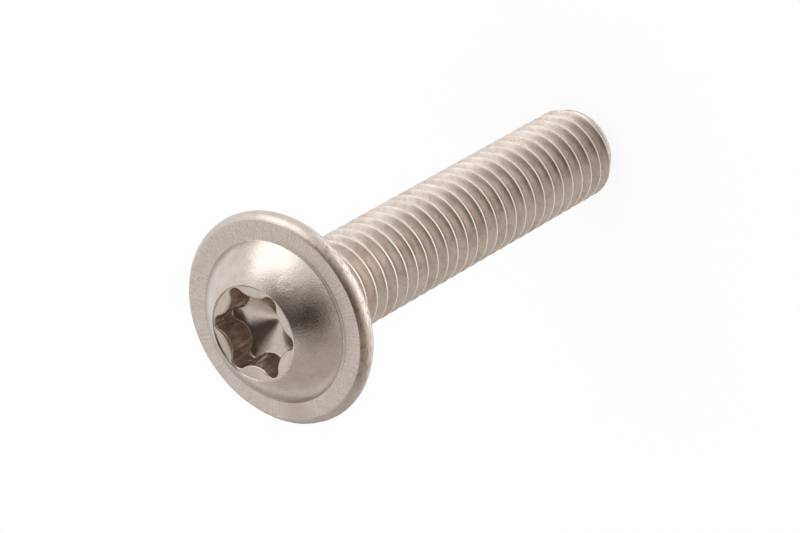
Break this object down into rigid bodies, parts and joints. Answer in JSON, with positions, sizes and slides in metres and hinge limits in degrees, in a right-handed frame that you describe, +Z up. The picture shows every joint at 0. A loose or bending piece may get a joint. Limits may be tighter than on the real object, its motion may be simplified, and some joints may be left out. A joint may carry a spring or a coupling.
{
  "type": "flanged button head screw",
  "caption": "Metric machine screw with a low domed head on a round flange, a six-lobe drive recess and a full-length coarse thread with a chamfered end.",
  "frame": {"origin": "middle of the flat end that the screw stands on", "axes": "+Z up along the screw axis, from the end towards the head"},
  "size_m": [0.013, 0.013, 0.0331],
  "materials": {
    "stainless_steel": "satin, as cold-formed and tumbled, with a warm grey tone"
  },
  "bodies": {
    "root": {"screw": "stainless_steel"}
  },
  "joints": []
}
